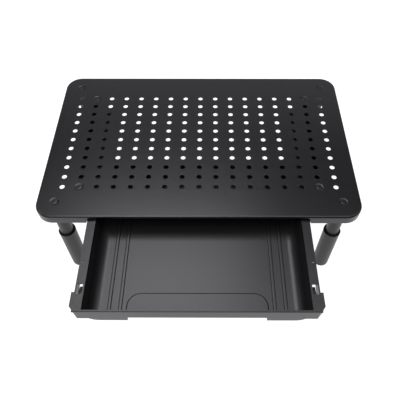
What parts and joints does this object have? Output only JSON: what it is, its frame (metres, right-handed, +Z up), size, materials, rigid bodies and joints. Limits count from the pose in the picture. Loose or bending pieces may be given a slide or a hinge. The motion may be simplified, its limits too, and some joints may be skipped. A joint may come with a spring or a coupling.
{
  "type": "monitor riser stand",
  "caption": "Perforated steel monitor riser on telescoping legs with snap-button height levels and a pull-out storage drawer under the platform.",
  "frame": {"origin": "desk level, in the middle of the outline that the stand covers with its drawer pulled out", "axes": "+X across the width to the right as seen from the front, +Y to the back, +Z up; the drawer opens towards -Y"},
  "size_m": [0.372, 0.343, 0.14],
  "materials": {
    "powder_coated_sheet": "fine-textured black powder coat, satin",
    "powder_coated_tube": "black powder coat, satin",
    "zinc_steel": "zinc plated",
    "spring_steel": "bright spring steel",
    "button_steel": "polished steel",
    "drawer_plastic": "matte moulded black plastic",
    "rail_plastic": "matte moulded black plastic",
    "glide_plastic": "natural acetal",
    "collar_plastic": "satin black plastic",
    "foot_plastic": "matte black plastic",
    "foot_rubber": "matte black rubber"
  },
  "bodies": {
    "stand": {"top_plate": "powder_coated_sheet", "leg_studs": "zinc_steel", "rail_studs": "zinc_steel", "rail_washers": "zinc_steel", "rail_nuts": "zinc_steel", "left_rail": "rail_plastic", "right_rail": "rail_plastic", "front_left_leg_tube": "powder_coated_tube", "front_left_tube_plug": "zinc_steel", "front_left_tube_glide": "glide_plastic", "front_left_spring_clip": "spring_steel", "front_right_leg_tube": "powder_coated_tube", "front_right_tube_plug": "zinc_steel", "front_right_tube_glide": "glide_plastic", "front_right_spring_clip": "spring_steel", "rear_left_leg_tube": "powder_coated_tube", "rear_left_tube_plug": "zinc_steel", "rear_left_tube_glide": "glide_plastic", "rear_left_spring_clip": "spring_steel", "rear_right_leg_tube": "powder_coated_tube", "rear_right_tube_plug": "zinc_steel", "rear_right_tube_glide": "glide_plastic", "rear_right_spring_clip": "spring_steel"},
    "drawer": {"drawer_tray": "drawer_plastic"},
    "front_left_foot": {"front_left_leg_sleeve": "powder_coated_tube", "front_left_sleeve_collar": "collar_plastic", "front_left_foot_plug": "foot_plastic", "front_left_foot_pad": "foot_rubber"},
    "front_left_button": {"front_left_height_button": "button_steel"},
    "front_right_foot": {"front_right_leg_sleeve": "powder_coated_tube", "front_right_sleeve_collar": "collar_plastic", "front_right_foot_plug": "foot_plastic", "front_right_foot_pad": "foot_rubber"},
    "front_right_button": {"front_right_height_button": "button_steel"},
    "rear_left_foot": {"rear_left_leg_sleeve": "powder_coated_tube", "rear_left_sleeve_collar": "collar_plastic", "rear_left_foot_plug": "foot_plastic", "rear_left_foot_pad": "foot_rubber"},
    "rear_left_button": {"rear_left_height_button": "button_steel"},
    "rear_right_foot": {"rear_right_leg_sleeve": "powder_coated_tube", "rear_right_sleeve_collar": "collar_plastic", "rear_right_foot_plug": "foot_plastic", "rear_right_foot_pad": "foot_rubber"},
    "rear_right_button": {"rear_right_height_button": "button_steel"}
  },
  "joints": [
    {"name": "drawer_slide", "type": "slide", "parent": "stand", "child": "drawer", "axis": [0, 1, 0], "range_m": [0, 0.0867]},
    {"name": "front_left_height", "type": "slide", "parent": "stand", "child": "front_left_foot", "axis": [0, 0, 1], "range_m": [0, 0.04], "deforming": ["front_left_height_button"]},
    {"name": "front_right_height", "type": "slide", "parent": "stand", "child": "front_right_foot", "axis": [0, 0, 1], "range_m": [0, 0.04], "deforming": ["front_right_height_button"]},
    {"name": "rear_left_height", "type": "slide", "parent": "stand", "child": "rear_left_foot", "axis": [0, 0, 1], "range_m": [0, 0.04], "deforming": ["rear_left_height_button"]},
    {"name": "rear_right_height", "type": "slide", "parent": "stand", "child": "rear_right_foot", "axis": [0, 0, 1], "range_m": [0, 0.04], "deforming": ["rear_right_height_button"]},
    {"name": "front_left_press", "type": "slide", "parent": "stand", "child": "front_left_button", "axis": [0, -1, 0], "range_m": [0, 0.0036], "stiffness_N_per_m": 1500, "springref_m": -0.003, "deforming": ["front_left_spring_clip"]},
    {"name": "front_right_press", "type": "slide", "parent": "stand", "child": "front_right_button", "axis": [0, -1, 0], "range_m": [0, 0.0036], "stiffness_N_per_m": 1500, "springref_m": -0.003, "deforming": ["front_right_spring_clip"]},
    {"name": "rear_left_press", "type": "slide", "parent": "stand", "child": "rear_left_button", "axis": [0, -1, 0], "range_m": [0, 0.0036], "stiffness_N_per_m": 1500, "springref_m": -0.003, "deforming": ["rear_left_spring_clip"]},
    {"name": "rear_right_press", "type": "slide", "parent": "stand", "child": "rear_right_button", "axis": [0, -1, 0], "range_m": [0, 0.0036], "stiffness_N_per_m": 1500, "springref_m": -0.003, "deforming": ["rear_right_spring_clip"]}
  ]
}
